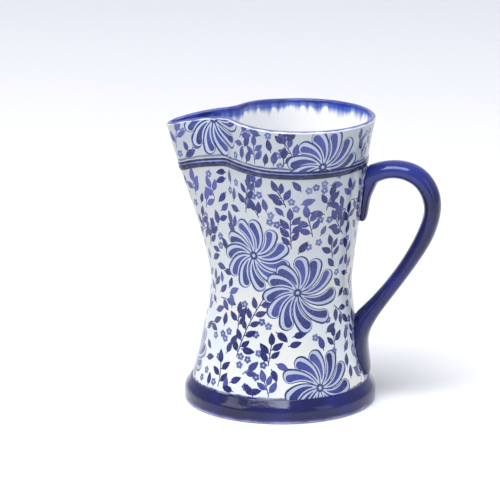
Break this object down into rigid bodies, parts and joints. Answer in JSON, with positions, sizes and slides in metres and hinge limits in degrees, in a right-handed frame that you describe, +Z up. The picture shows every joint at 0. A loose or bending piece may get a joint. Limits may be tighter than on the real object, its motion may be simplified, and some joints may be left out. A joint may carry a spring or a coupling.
{
  "type": "cream jug",
  "caption": "Waisted porcelain cream jug with a pinched pouring spout, a foot ring, a raised neck cord and a strap handle.",
  "frame": {"origin": "on the base plane, at the axis of the foot ring", "axes": "+Z up, spout towards -X, handle towards +X"},
  "size_m": [0.1065, 0.0744, 0.1136],
  "materials": {
    "printed_porcelain": "white porcelain under clear gloss glaze with a blue transfer print",
    "cobalt_glaze": "deep cobalt under clear gloss glaze",
    "cord_glaze": "navy and slate blue under clear gloss glaze",
    "slip": "pale luting clay under clear gloss glaze"
  },
  "bodies": {
    "root": {"body_shell": "printed_porcelain", "foot_ring": "cobalt_glaze", "neck_cord": "cord_glaze", "handle": "cobalt_glaze", "upper_slip_joint": "slip", "lower_slip_joint": "slip"}
  },
  "joints": []
}
